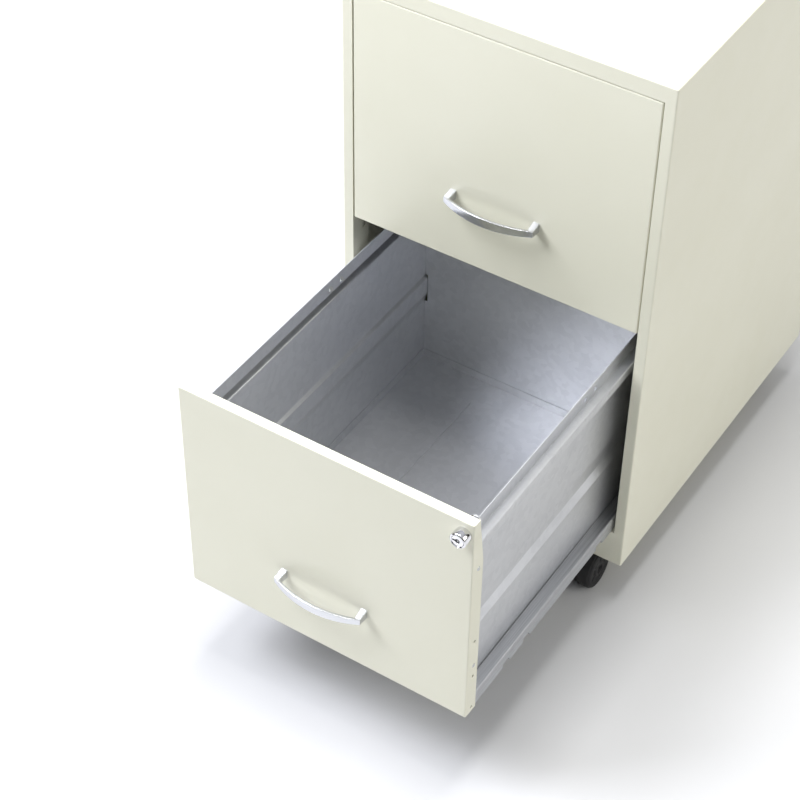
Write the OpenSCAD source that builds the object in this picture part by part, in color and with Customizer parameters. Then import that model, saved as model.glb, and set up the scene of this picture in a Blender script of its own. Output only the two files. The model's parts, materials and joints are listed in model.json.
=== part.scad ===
// Two-drawer mobile filing cabinet, folded sheet steel, on four twin-wheel casters.
// Origin: on the floor, under the middle of the case. +X is the cabinet's right as seen
// from its front, -Y is the front, +Z is up. The lower drawer is modelled pulled out.

/* [Case] */
// Overall width of the case
case_w = 362; // [350:1:380]
// Overall depth of the case
case_d = 457; // [450:1:560]
// Width of the front stile beside the drawers
stile_w = 12; // [11:0.5:16]
// Height of the strip above the upper drawer
header_h = 18.3; // [12:0.1:30]
// Height of the strip below the lower drawer
kick_h = 46; // [36:1:60]
// Thickness of the case sheet
case_t = 0.9; // [0.7:0.1:1.2]
// Outer radius of the folded edges
edge_r = 1.6; // [1:0.1:2.5]

/* [Drawers] */
// Height of a drawer front
front_h = 276.5; // [265:0.5:300]
// Depth of a drawer from its face to its back
drawer_d = 425; // [410:1:440]
// Gap between the two drawer fronts
front_gap = 6; // [4:0.5:8]
// Gap round the fronts at the sides and the top
reveal = 1.2; // [1:0.1:2]
// How far the upper drawer is pulled out
upper_pull = 0; // [0:5:300]
// How far the lower drawer is pulled out
lower_pull = 305; // [0:5:305]
// Full travel of a drawer between its stops
drawer_travel = 310; // [300:1:320]

/* [Handles] */
// Distance between the handle's feet
handle_span = 96; // [76:4:128]
// How far the middle of the bow stands off the front
handle_reach = 25; // [22:1:34]
// Height of the handle above the bottom edge of its front
handle_z = 82; // [60:0.5:200]

/* [Lock] */
// Diameter of the lock's visible collar
lock_d = 17.6; // [16:0.2:19]
// How far the lock stands off the front
lock_reach = 12; // [8:1:14]

/* [Casters] */
// Height of the case bottom above the floor
caster_h = 62; // [60:1:70]
// Diameter of the caster wheels
wheel_d = 50; // [44:1:50]
// Distance from the cabinet's centre line to a swivel axis
caster_x = 127; // [110:1:130]
// Distance from the case's front or back to a swivel axis
caster_inset = 36; // [35:1:60]

/* [Hidden] */
$fn = 32;
eps = 0.01;

// colours
cream = "#E6E4D8";
zinc = "#B4B7B9";
runner_grey = "#9EA2A5";
bright = "#D8DADC";
black = "#1C1C1E";
nylon = "#E9E7DF";

// case
case_hw = case_w/2;
front_y = -case_d/2;
open_hw = case_hw - stile_w;
kick_gap = 3.5;
case_h = kick_h + kick_gap + 2*front_h + front_gap + reveal + header_h;
return_d = 29;
rear_flange = 12;
side_in = case_hw - case_t;
fit_gap = 0.1;

// drawer fronts, measured from the bottom edge and the face of the front
front_hw = open_hw - reveal;
front_t = 1;
flange_side = 19;
flange_top = 10;
flange_bottom = 12;
taper_h = 60;
lower_z = caster_h + kick_h + kick_gap;
upper_z = lower_z + front_h + front_gap;
side_hole_drops = [66, 170, 206, 222, 270];
side_screw_drops = [66, 206];
side_hole_y = 11;

// drawer box
sheet = 0.9;
wall_x = 152;
wall_y = front_t + 0.1;
bracket_y = 18;
lip_x = 162;
hook_z = front_h - 26.5;
ledge_z = front_h - 44.5;
lip_z = front_h - 55.5;
bead_top = front_h - 149;
bead_low = front_h - 186;
bead_in = 3.2;
bead_slope = 12.5;
floor_z = 5;
rail_top = 20;
tab_ys = [234, 254];
tab_w = 5;
tab_h = 6.5;

// drawer runner, an inverted U along the bottom of each wall
rail_t = 1.2;
rail_in = wall_x + sheet/2 + 0.1;
rail_out = 167;
rail_y = 19.3;
rail_bottom = 0.5;
notch_ys = [74, 114, 267];

// case channel and the rollers
channel_out = side_in - 0.1;
channel_in = 169.3;
channel_t = 1.2;
rear_r = 8;
rear_roller_z = 10.2;
roll_gap = 0.3;
rear_roller_y = 400;
front_r = 7.5;
front_roller_y = 45;
front_roller_z = rail_top - rail_t - roll_gap - front_r;
pin_r = 2.5;
pin_fit = 0.05;
fixed_fit = 0.02;
channel_len = case_d - return_d - 22;
rivet_ys = [110, 220, 398];
rivet_r = 2;

// handle
foot_w = 7;
foot_h = 10.5;
foot_depth = 13;
strap_t = 2.8;
strap_mid_h = 10.2;
strap_end_h = 6.8;
bow_half = handle_span/2 + foot_w/2;

// lock, at the upper right corner of the lower front
lock_x = front_hw - 11;
lock_z = front_h - 15.5;
plug_r = 6.4;
cam_y = 20;
cam_reach = 19;

// casters
wheel_r = wheel_d/2;
trail = 21;
wheel_in = 6.2;
wheel_out = 23.5;
web_hx = wheel_in - 0.6;
axle_r = 4;
stem_r = 4;
stem_fit = 0.05;
hood_in = wheel_r + 1.2;
hood_out = wheel_r + 3.2;
caster_y = case_d/2 - caster_inset;

// ---- shared helpers -------------------------------------------------------------------

function unit(v) = v/norm(v);
function perp(v) = [-v[1], v[0]];
function turn(a, b) = atan2(a[0]*b[1] - a[1]*b[0], a[0]*b[0] + a[1]*b[1]);
function dir(path, i) = unit(path[i + 1] - path[i]);

// Points of one bend of a folded sheet, on side s of its middle line
function bend(path, i, s, t, r) =
    let (d0 = dir(path, i - 1), d1 = dir(path, i), a = turn(d0, d1), g = sign(a),
         centre = path[i] - d0*r*tan(abs(a)/2) + perp(d0)*g*r,
         n = max(1, round(abs(a)/22.5)), rr = r - s*g*t/2,
         a0 = atan2(-g*perp(d0)[1], -g*perp(d0)[0]))
    [for (k = [0:n]) centre + rr*[cos(a0 + a*k/n), sin(a0 + a*k/n)]];

function sheet_side(path, s, t, r) =
    let (last = len(path) - 1)
    concat(
        [path[0] + perp(dir(path, 0))*s*t/2],
        [for (i = [1:last - 1]) each bend(path, i, s, t, r)],
        [path[last] + perp(dir(path, last - 1))*s*t/2]);

function backwards(v) = [for (i = [len(v) - 1:-1:0]) v[i]];

// Outline of a sheet of thickness t that follows a middle line with bends of radius r
module folded(path, t, r) {
    polygon(concat(sheet_side(path, 1, t, r), backwards(sheet_side(path, -1, t, r))));
}

// A section drawn in X and Z, made y1 - y0 long along Y
module along_y(y0, y1) {
    translate([0, y1, 0]) rotate([90, 0, 0]) linear_extrude(y1 - y0) children();
}

function corner(cx, cy, r, a) = [for (k = [0:4]) [cx + r*cos(a + 22.5*k), cy + r*sin(a + 22.5*k)]];

// Rectangle from (-w/2, y0) to (w/2, y1) with rounded corners
module rounded_rect(w, y0, y1, r) {
    polygon(concat(
        corner(w/2 - r, y1 - r, r, 0), corner(-w/2 + r, y1 - r, r, 90),
        corner(-w/2 + r, y0 + r, r, 180), corner(w/2 - r, y0 + r, r, 270)));
}

module rod_x(r, x0, x1) translate([x0, 0, 0]) rotate([0, 90, 0]) cylinder(r = r, h = x1 - x0);
module rod_y(r, y0, y1) translate([0, y1, 0]) rotate([90, 0, 0]) cylinder(r = r, h = y1 - y0);

// Block between two corners
module block(a, b) translate(a) cube(b - a);

module left() mirror([1, 0, 0]) children();
module both_sides() {
    children();
    mirror([1, 0, 0]) children();
}

module in_case() translate([0, front_y, caster_h]) children();
module in_upper() translate([0, front_y - upper_pull, upper_z]) children();
module in_lower() translate([0, front_y - lower_pull, lower_z]) children();
module upper_bay() translate([0, front_y, upper_z]) children();
module lower_bay() translate([0, front_y, lower_z]) children();

// ---- case -----------------------------------------------------------------------------

// One folded wrap: both sides, the top and the frame round the drawers
module case_wrap() color(cream) in_case() {
    difference() {
        intersection() {
            linear_extrude(case_h) rounded_rect(case_w, 0, case_d, edge_r);
            along_y(0, case_d) rounded_rect(case_w, -20, case_h, edge_r);
            translate([-case_hw, case_d/2, 0]) rotate([90, 0, 90])
                linear_extrude(case_w) rounded_rect(case_d, -20, case_h, edge_r);
        }
        block([-side_in, case_t, -1], [side_in, case_d - case_t, case_h - case_t]);
        block([-open_hw, -1, kick_h], [open_hw, case_t + 1, case_h - header_h]);
        block([-side_in + rear_flange, case_d - 2, -1],
            [side_in - rear_flange, case_d + 1, case_h - case_t - rear_flange]);
        both_sides() for (x = [case_hw - 8], z = [40, 320, case_h - 30])
            translate([x, 0, z]) rod_y(2, case_d - 2, case_d + 1);
    }
    both_sides() difference() {
        block([open_hw, case_t - eps, kick_h - 14], [open_hw + case_t, return_d, case_h - header_h + 8]);
        block([open_hw - 1, cam_y - 1, lower_z - caster_h + lock_z - 6],
            [open_hw + 2, cam_y + 4, lower_z - caster_h + lock_z + 6]);
    }
}

// Stiffener behind the strip above the upper drawer
module header_channel() color(cream) in_case() {
    z0 = case_h - header_h;
    z1 = case_h - case_t - fit_gap;
    y0 = case_t + fit_gap;
    x1 = open_hw - 2*fit_gap;
    translate([-x1, 0, 0]) rotate([90, 0, 90]) linear_extrude(2*x1)
        folded([[24, z0 + 9], [24, z0 + 0.6], [y0 + 0.6, z0 + 0.6], [y0 + 0.6, z1 - 0.6], [14, z1 - 0.6]],
            1.2, 1);
}

// Stiffener behind the strip below the lower drawer
module kick_channel() color(cream) in_case() {
    y0 = case_t + fit_gap;
    x1 = open_hw - 2*fit_gap;
    translate([-x1, 0, 0]) rotate([90, 0, 90]) linear_extrude(2*x1)
        folded([[26, kick_h - 12], [26, kick_h - 0.7], [y0 + 0.6, kick_h - 0.7], [y0 + 0.6, 17]], 1.2, 1);
}

module stem_positions() {
    for (x = [-caster_x, caster_x], y = [caster_inset, case_d - caster_inset])
        translate([x, y, 0]) children();
}

// Pan that closes the case below and carries the casters
module bottom_panel() color(cream) in_case() {
    x1 = side_in - fit_gap;
    y0 = case_t + fit_gap;
    y1 = case_d - 2*case_t - 2*fit_gap;
    difference() {
        block([-x1, y0, 0], [x1, y1, 15]);
        block([-x1 + case_t, y0 + case_t, case_t], [x1 - case_t, y1 - case_t, 16]);
        stem_positions() translate([0, 0, -1]) cylinder(r = stem_r + 0.3, h = 4);
    }
}

module back_panel() color(cream) in_case() {
    x1 = side_in - fit_gap;
    y1 = case_d - case_t - fit_gap;
    difference() {
        union() {
            block([-x1, y1 - case_t, 0], [x1, y1, case_h - case_t - fit_gap]);
            for (z = [170, 440])
                block([-110, y1 - case_t - 2, z], [110, y1 - case_t + eps, z + 14]);
        }
        for (z = [170, 440])
            block([-108, y1 - case_t - 0.9, z + 2], [108, y1 + 1, z + 12]);
        both_sides() for (z = [40, 320, case_h - 30])
            translate([case_hw - 8, 0, z]) rod_y(1.7, case_d - 4, case_d);
    }
}

// Doubler plates that spread each caster's load
module caster_plates() color(zinc) in_case() {
    stem_positions() difference() {
        translate([0, 0, case_t]) linear_extrude(2.5) rounded_rect(60, -30, 30, 6);
        cylinder(r = stem_r + 0.3, h = 8);
    }
}

// Caster stems, each with its bearing collar and its nut
module caster_stems() color(bright) in_case() {
    top = case_t + 2.5;
    stem_positions() {
        translate([0, 0, 34 - caster_h]) cylinder(r = stem_r, h = caster_h - 34 + top + 10);
        difference() {
            translate([0, 0, -3]) cylinder(r = 9, h = 3 - eps);
            translate([0, 0, -4]) cylinder(r = stem_r - eps, h = 5);
        }
        difference() {
            translate([0, 0, top]) cylinder(r = 9, h = 6, $fn = 6);
            cylinder(r = stem_r - eps, h = 12);
        }
    }
}

// Pan-head screw with a slotted head, pointing along +Y, its head in front of y = 0
module screw(shank_r, length, head_r, head_h) {
    difference() {
        union() {
            rod_y(shank_r, -eps, length);
            rod_y(head_r, -head_h, 0);
        }
        block([-head_r, -head_h - 1, -0.5], [head_r, -head_h + 0.9, 0.5]);
    }
}

// Screws that hold the back panel in the wrap
module case_screws() color(bright) in_case() {
    both_sides() for (z = [40, 320, case_h - 30])
        translate([case_hw - 8, case_d, z]) mirror([0, 1, 0]) screw(1.7, 8, 3.6, 1.8);
}

// Rivets that hold the channels to the sides, and the pins of the front rollers
module bay_rivets() both_sides() {
    for (y = rivet_ys)
        translate([0, y, rear_roller_z]) rod_x(rivet_r, channel_out - channel_t - 0.7, channel_out);
    translate([0, front_roller_y, front_roller_z]) {
        rod_x(pin_r, 154.4, 162.7);
        rod_x(3.6, 162.7 - eps, 163.6);
    }
}

module case_rivets() color(bright) {
    upper_bay() bay_rivets();
    lower_bay() bay_rivets();
}

// Rubber stops that each drawer meets as it closes
module bay_bumpers() both_sides() {
    y0 = rear_roller_y + rear_r + 0.4;
    z0 = rear_roller_z - 7;
    block([170.6, y0, z0], [channel_out - channel_t - 0.1, y0 + 10, z0 + 14]);
}

module rear_bumpers() color(black) {
    upper_bay() bay_bumpers();
    lower_bay() bay_bumpers();
}

// Plate that backs the slot where the lock's cam enters the stile
module lock_strike() color(zinc) lower_bay() {
    x0 = open_hw + case_t + 0.05;
    difference() {
        block([x0, 8, lock_z - 18], [x0 + 1.5, return_d - 1, lock_z + 18]);
        block([x0 - 1, cam_y - 0.7, lock_z - 5.5], [x0 + 3, cam_y + 3.7, lock_z + 5.5]);
    }
}

// Fixed half of a slide: a channel on the side panel with a foot for the front roller
module case_channel() color(zinc) {
    low = rear_roller_z - rear_r - roll_gap;
    high = rear_roller_z + rear_r + roll_gap;
    y0 = return_d + 1.5;
    stop_y = rear_roller_y - drawer_travel - rear_r - 0.3;
    difference() {
        union() {
            along_y(y0, y0 + channel_len)
                folded([[channel_in, low - channel_t/2], [channel_out - channel_t/2, low - channel_t/2],
                    [channel_out - channel_t/2, high + channel_t/2], [channel_in, high + channel_t/2]],
                    channel_t, 1);
            block([172, stop_y - 1.5, low - eps], [channel_out - channel_t + eps, stop_y, high + eps]);
            block([154.4, front_roller_y - 10, -1.4], [channel_in + channel_t, front_roller_y + 10, -0.2]);
            block([channel_in, front_roller_y - 10, -1.4],
                [channel_in + channel_t, front_roller_y + 10, low - channel_t + eps]);
            block([154.4, front_roller_y - 10, -1.4], [155.6, front_roller_y + 10, front_roller_z + 6]);
        }
        for (y = rivet_ys)
            translate([0, y, rear_roller_z]) rod_x(rivet_r + fixed_fit, channel_out - 3, channel_out + 1);
        translate([0, front_roller_y, front_roller_z]) rod_x(pin_r + fixed_fit, 153, 157);
    }
}

module upper_left_channel() upper_bay() left() case_channel();
module upper_right_channel() upper_bay() case_channel();
module lower_left_channel() lower_bay() left() case_channel();
module lower_right_channel() lower_bay() case_channel();

// Flanged nylon roller on a pin along X
module roller(r, x0, x1) color(nylon) difference() {
    union() {
        rod_x(r - 0.6, x0, x1);
        rod_x(r, x0 + 0.7, x1 - 0.7);
    }
    rod_x(pin_r + pin_fit, x0 - 1, x1 + 1);
    rod_x(r - 2, x1 - 0.8, x1 + 1);
}

module front_roller() translate([0, front_roller_y, front_roller_z]) roller(front_r, 156.3, 162.4);
module upper_left_front_roller() upper_bay() left() front_roller();
module upper_right_front_roller() upper_bay() front_roller();
module lower_left_front_roller() lower_bay() left() front_roller();
module lower_right_front_roller() lower_bay() front_roller();

// ---- casters --------------------------------------------------------------------------

module caster_at(sx, sy) translate([sx*caster_x, sy*caster_y, 0]) children();

// Swivelling body: a socket for the stem, a web between the wheels and a hood over them
module caster_housing() color(black) difference() {
    union() {
        translate([0, 0, 34]) cylinder(r = web_hx, h = 18);
        translate([0, 0, 50.6]) cylinder(r = 12, h = caster_h - 3.4 - 50.6);
        translate([0, -trail, wheel_r]) rod_x(wheel_r - 1.5, -web_hx, web_hx);
        block([-web_hx, -trail, wheel_r], [web_hx, 4, 48]);
        translate([0, -trail, wheel_r]) difference() {
            rod_x(hood_out, -wheel_out, wheel_out);
            rod_x(hood_in, -wheel_out - 1, wheel_out + 1);
            block([-40, -40, -40], [40, 40, 4]);
            rotate([-35, 0, 0]) block([-40, -60, -60], [40, -6, 60]);
        }
        block([-web_hx, -trail, wheel_r + 15], [web_hx, 0, wheel_r + hood_in + 0.4]);
    }
    translate([0, 0, 30]) cylinder(r = stem_r + stem_fit, h = 40);
    translate([0, -trail, wheel_r]) rod_x(axle_r + fixed_fit, -10, 10);
}

module caster_axle() color(bright) translate([0, -trail, wheel_r]) rod_x(axle_r, -19, 19);

// One twin wheel: hard tread with eased edges, dished outer face and a hub
module caster_wheel() translate([wheel_in, -trail, wheel_r]) rotate([0, 90, 0]) {
    w = wheel_out - wheel_in;
    rotate_extrude($fn = 48) polygon([
        [axle_r + 0.05, 0], [wheel_r - 3, 0], [wheel_r - 0.8, 0.8], [wheel_r, 3],
        [wheel_r, w - 4], [wheel_r - 1, w - 1.4], [wheel_r - 3.4, w], [wheel_r - 6, w],
        [wheel_r - 7.5, w - 2], [9, w - 2], [8, w], [axle_r + 1.5, w], [axle_r + 1.5, w - 1.5],
        [axle_r + 0.05, w - 1.5]]);
}

module caster_wheels() color(black) both_sides() caster_wheel();

module front_left_caster_housing() caster_at(-1, -1) caster_housing();
module front_right_caster_housing() caster_at(1, -1) caster_housing();
module rear_left_caster_housing() caster_at(-1, 1) caster_housing();
module rear_right_caster_housing() caster_at(1, 1) caster_housing();
module front_left_caster_axle() caster_at(-1, -1) caster_axle();
module front_right_caster_axle() caster_at(1, -1) caster_axle();
module rear_left_caster_axle() caster_at(-1, 1) caster_axle();
module rear_right_caster_axle() caster_at(1, 1) caster_axle();
module front_left_caster_wheels() caster_at(-1, -1) caster_wheels();
module front_right_caster_wheels() caster_at(1, -1) caster_wheels();
module rear_left_caster_wheels() caster_at(-1, 1) caster_wheels();
module rear_right_caster_wheels() caster_at(1, 1) caster_wheels();

// ---- drawers --------------------------------------------------------------------------

// Painted pan: the face and its folded flanges. The side flanges narrow towards the top.
module drawer_front(lock_hole) color(cream) difference() {
    union() {
        intersection() {
            union() {
                block([-front_hw, 0, 0], [front_hw, front_t, front_h]);
                both_sides() translate([front_hw - front_t, 0, 0]) rotate([90, 0, 90])
                    linear_extrude(front_t) polygon([[0, 0], [flange_side, 0],
                        [flange_side, front_h - taper_h], [flange_top, front_h], [0, front_h]]);
            }
            linear_extrude(front_h) rounded_rect(2*front_hw, 0, 40, edge_r);
        }
        block([-front_hw + front_t - eps, front_t - eps, front_h - front_t],
            [front_hw - front_t + eps, flange_top, front_h]);
        block([-front_hw + front_t - eps, front_t - eps, 0],
            [front_hw - front_t + eps, flange_bottom, front_t]);
    }
    both_sides() {
        for (drop = side_hole_drops)
            translate([0, side_hole_y, front_h - drop]) rod_x(1.8, front_hw - 3, front_hw + 1);
        translate([handle_span/2, 0, handle_z]) rod_y(2.2, -1, 3);
    }
    if (lock_hole) translate([lock_x, 0, lock_z]) rod_y(7.6, -1, 3);
}

// Galvanised side wall: a long bead, a hollow lip and a hook rail on top with two stop tabs
// lanced inwards
module drawer_wall() color(zinc) {
    x0 = wall_x;
    y1 = drawer_d;
    difference() {
        along_y(wall_y, y1)
            folded([[x0, floor_z], [x0, bead_low], [x0 - bead_in, bead_low + bead_slope],
                [x0 - bead_in, bead_top - bead_in], [x0, bead_top], [x0, lip_z], [lip_x, lip_z],
                [lip_x, ledge_z], [x0, ledge_z], [x0, hook_z]], sheet, 1);
        for (y = tab_ys) block([x0 - 2, y, ledge_z + 4], [x0 + 2, y + tab_w, ledge_z + 4 + tab_h]);
    }
    for (y = tab_ys) translate([x0, y, ledge_z + 4 + tab_h]) rotate([0, 35, 0])
        block([-sheet/2, 0.3, 0.4 - tab_h], [sheet/2, tab_w - 0.3, 0.4]);
    difference() {
        union() {
            block([x0 + sheet/2 - eps, bracket_y, rail_top + 4],
                [front_hw - front_t - 0.1, bracket_y + sheet, lip_z - 4]);
            block([front_hw - front_t - 0.1 - sheet, 4, rail_top + 4],
                [front_hw - front_t - 0.1, bracket_y + eps, lip_z - 4]);
        }
        for (drop = side_hole_drops)
            translate([0, side_hole_y, front_h - drop]) rod_x(1.5, front_hw - 5, front_hw);
    }
}

// Floor pan between the walls, with turned-up edges and two stiffening ribs
module drawer_bottom() color(zinc) {
    x1 = wall_x - sheet/2 - 0.1;
    y0 = wall_y;
    y1 = drawer_d - sheet - 0.2;
    difference() {
        block([-x1, y0, floor_z], [x1, y1, floor_z + 12]);
        block([-x1 + sheet, y0 + sheet, floor_z + sheet], [x1 - sheet, y1 - sheet, floor_z + 13]);
    }
    both_sides() block([62, y0 + 40, floor_z + sheet - eps], [78, y1 - 40, floor_z + sheet + 1.4]);
}

module drawer_back() color(zinc) {
    x1 = wall_x - sheet/2 - 0.1;
    y1 = drawer_d;
    difference() {
        block([-x1, y1 - sheet, floor_z], [x1, y1, ledge_z]);
        both_sides() block([x1 - bead_in - 0.4, y1 - 2, bead_low - 1], [x1 + 1, y1 + 1, bead_top + 1]);
    }
    block([-x1, y1 - 9, ledge_z - sheet], [x1, y1 - sheet + eps, ledge_z]);
    block([-x1, y1 - 9, ledge_z - 8], [x1, y1 - 9 + sheet, ledge_z - sheet + eps]);
}

// Moving half of a slide, spot-welded along the wall
module drawer_runner() color(runner_grey) difference() {
    along_y(rail_y, drawer_d)
        folded([[rail_in + rail_t/2, 3], [rail_in + rail_t/2, rail_top - rail_t/2],
            [rail_out - rail_t/2, rail_top - rail_t/2], [rail_out - rail_t/2, rail_bottom + rail_t/2],
            [163.2, rail_bottom + rail_t/2]], rail_t, 1);
    for (y = notch_ys) translate([0, y, 0]) translate([160, 0, 0]) rotate([90, 0, 90])
        linear_extrude(10) polygon([[0, -1], [15, -1], [11, 7.5], [0, 7.5]]);
    translate([0, rear_roller_y, rear_roller_z]) rod_x(pin_r + fixed_fit, 160, 170);
}

// Bow handle: a curved strap, lower towards its ends, between two tapering feet
module handle() color(bright) translate([0, 0, handle_z]) difference() {
    rise = handle_reach - foot_depth;
    outer = (bow_half*bow_half + rise*rise)/(2*rise);
    edge = [for (i = [-8:8])
        [i*bow_half/8, strap_end_h/2 + (strap_mid_h - strap_end_h)/2*(1 - i*i/64)]];
    union() {
        intersection() {
            translate([0, outer - handle_reach, -strap_mid_h]) linear_extrude(2*strap_mid_h) difference() {
                circle(r = outer, $fn = 256);
                circle(r = outer - strap_t, $fn = 256);
            }
            along_y(-handle_reach - 1, -4)
                polygon(concat(edge, [for (p = backwards(edge)) [p[0], -p[1]]]));
        }
        both_sides() intersection() {
            hull() {
                block([bow_half - foot_w, -0.2, -foot_h/2], [bow_half, 0, foot_h/2]);
                block([bow_half - foot_w + 1, -foot_depth - 3, -strap_end_h/2],
                    [bow_half, -foot_depth - 2.8, strap_end_h/2]);
            }
            translate([0, outer - handle_reach, -foot_h])
                cylinder(r = outer - 0.3, h = 2*foot_h, $fn = 256);
        }
    }
    both_sides() translate([handle_span/2, 0, 0]) rod_y(2, -9, 1);
}

// Handle screws, and the screws through the side flanges into the walls
module drawer_screws() color(bright) {
    both_sides() {
        translate([handle_span/2, front_t, handle_z]) mirror([0, 1, 0]) screw(2, 9, 3.8, 2.2);
        for (drop = side_screw_drops)
            translate([front_hw, side_hole_y, front_h - drop]) rotate([0, 0, 90]) screw(1.5, 4, 2.6, 0.6);
        translate([0, rear_roller_y, rear_roller_z]) {
            rod_x(pin_r, rail_out - 2.2, 176.8);
            rod_x(3.6, 176.8 - eps, 177.8);
        }
    }
}

module rear_roller() translate([0, rear_roller_y, rear_roller_z]) roller(rear_r, 168, 176.4);

module upper_drawer_front() in_upper() drawer_front(false);
module upper_left_wall() in_upper() left() drawer_wall();
module upper_right_wall() in_upper() drawer_wall();
module upper_drawer_bottom() in_upper() drawer_bottom();
module upper_drawer_back() in_upper() drawer_back();
module upper_left_runner() in_upper() left() drawer_runner();
module upper_right_runner() in_upper() drawer_runner();
module upper_handle() in_upper() handle();
module upper_drawer_screws() in_upper() drawer_screws();
module upper_left_rear_roller() in_upper() left() rear_roller();
module upper_right_rear_roller() in_upper() rear_roller();

module lower_drawer_front() in_lower() drawer_front(true);
module lower_left_wall() in_lower() left() drawer_wall();
module lower_right_wall() in_lower() drawer_wall();
module lower_drawer_bottom() in_lower() drawer_bottom();
module lower_drawer_back() in_lower() drawer_back();
module lower_left_runner() in_lower() left() drawer_runner();
module lower_right_runner() in_lower() drawer_runner();
module lower_handle() in_lower() handle();
module lower_drawer_screws() in_lower() drawer_screws();
module lower_left_rear_roller() in_lower() left() rear_roller();
module lower_right_rear_roller() in_lower() rear_roller();

// ---- lock -----------------------------------------------------------------------------

module in_lock() in_lower() translate([lock_x, 0, lock_z]) children();

// Barrel: collar outside the front, threaded sleeve through it
module lock_barrel() color(bright) in_lock() difference() {
    union() {
        rod_y(lock_d/2, -lock_reach, 0);
        rod_y(7.5, -eps, 15);
    }
    rod_y(plug_r + 0.06, -lock_reach - 1, 16);
}

module lock_ring_nut() color(bright) in_lock() difference() {
    rod_y(9.4, front_t, front_t + 3);
    rod_y(7.5, -1, 6);
}

// Plug: turns in the barrel, with a keyway in its face and a square tail for the cam
module lock_plug() color(bright) in_lock() difference() {
    union() {
        rod_y(plug_r, -lock_reach + 0.6, cam_y - 0.4);
        block([-3, cam_y - 0.5, -3], [3, cam_y + 2.6, 3]);
        rod_y(2.6, cam_y + 2, cam_y + 4);
    }
    block([-5.4, -lock_reach, -0.9], [1, -lock_reach + 8, 0.9]);
    rod_y(2.4, -lock_reach, -lock_reach + 8);
}

// Cam: hangs down when the lock is open, points into the stile when it is shut
module lock_cam() color(zinc) in_lock() difference() {
    union() {
        rod_y(6, cam_y, cam_y + 2);
        block([-3.5, cam_y, -cam_reach], [3.5, cam_y + 2, 0]);
    }
    block([-3.02, cam_y - 1, -3.02], [3.02, cam_y + 3, 3.02]);
}

case_wrap();
header_channel();
kick_channel();
bottom_panel();
back_panel();
caster_plates();
caster_stems();
case_screws();
case_rivets();
rear_bumpers();
lock_strike();
upper_left_channel();
upper_right_channel();
lower_left_channel();
lower_right_channel();
upper_left_front_roller();
upper_right_front_roller();
lower_left_front_roller();
lower_right_front_roller();
front_left_caster_housing();
front_right_caster_housing();
rear_left_caster_housing();
rear_right_caster_housing();
front_left_caster_axle();
front_right_caster_axle();
rear_left_caster_axle();
rear_right_caster_axle();
front_left_caster_wheels();
front_right_caster_wheels();
rear_left_caster_wheels();
rear_right_caster_wheels();
upper_drawer_front();
upper_left_wall();
upper_right_wall();
upper_drawer_bottom();
upper_drawer_back();
upper_left_runner();
upper_right_runner();
upper_handle();
upper_drawer_screws();
upper_left_rear_roller();
upper_right_rear_roller();
lower_drawer_front();
lower_left_wall();
lower_right_wall();
lower_drawer_bottom();
lower_drawer_back();
lower_left_runner();
lower_right_runner();
lower_handle();
lower_drawer_screws();
lower_left_rear_roller();
lower_right_rear_roller();
lock_barrel();
lock_ring_nut();
lock_plug();
lock_cam();
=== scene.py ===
"""Looks of a two-drawer mobile filing cabinet whose lower drawer is pulled out.

Metres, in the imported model's frame: +Z up, -Y out of the front, the floor at Z = 0.
Folded sheet-metal parts keep their CAD nodes and get eased edges and a finish. Cast,
turned and moulded parts are built here as finer meshes that stand for their CAD nodes.
"""

import json
import math

import bmesh
import bpy
from mathutils import Matrix, Vector


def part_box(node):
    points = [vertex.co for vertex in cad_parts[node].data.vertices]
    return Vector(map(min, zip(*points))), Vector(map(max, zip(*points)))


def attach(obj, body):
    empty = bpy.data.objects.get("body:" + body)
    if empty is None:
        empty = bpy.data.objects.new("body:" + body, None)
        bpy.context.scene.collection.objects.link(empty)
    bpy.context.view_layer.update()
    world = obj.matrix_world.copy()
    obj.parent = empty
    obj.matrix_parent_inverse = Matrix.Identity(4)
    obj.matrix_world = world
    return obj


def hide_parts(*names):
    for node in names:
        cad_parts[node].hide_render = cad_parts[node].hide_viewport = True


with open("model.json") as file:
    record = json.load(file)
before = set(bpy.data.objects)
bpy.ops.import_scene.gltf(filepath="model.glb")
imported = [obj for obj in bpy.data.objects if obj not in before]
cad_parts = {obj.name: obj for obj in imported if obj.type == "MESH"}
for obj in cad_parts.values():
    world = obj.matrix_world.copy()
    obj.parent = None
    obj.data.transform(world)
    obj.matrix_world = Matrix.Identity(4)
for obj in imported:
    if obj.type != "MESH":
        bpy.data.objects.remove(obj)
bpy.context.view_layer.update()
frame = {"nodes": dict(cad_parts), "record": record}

MM = 0.001
NODES = frame["nodes"]
RECORD = frame["record"]
SLOT_OF = {part["node"]: part["material_slot"] for part in RECORD["subparts"]}
BODY_OF = {name: body for body, names in RECORD["behaviour"]["bodies"].items() for name in names}
DRAWERS = ("upper", "lower")
SIDES = (-1, 1)

# ---- camera, floor and light ------------------------------------------------------------

CAMERA_AIM = Vector((-0.0288, -0.3524, 0.2996))
CAMERA_DISTANCE = 2.1332
CAMERA_AZIMUTH = math.radians(32.371)
CAMERA_ELEVATION = math.radians(43.38)
CAMERA_ROLL = math.radians(0.863)
CAMERA_LENS_MM = 94.316
FLOOR_HALF = 6
HORIZON_COLOUR = (1, 0.97, 0.8)
ZENITH_COLOUR = (0.97, 0.99, 1.04)
HORIZON_STRENGTH = 0.07
ZENITH_STRENGTH = 0.75
BACKDROP_COLOUR = (0.8, 0.8, 0.8)
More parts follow.
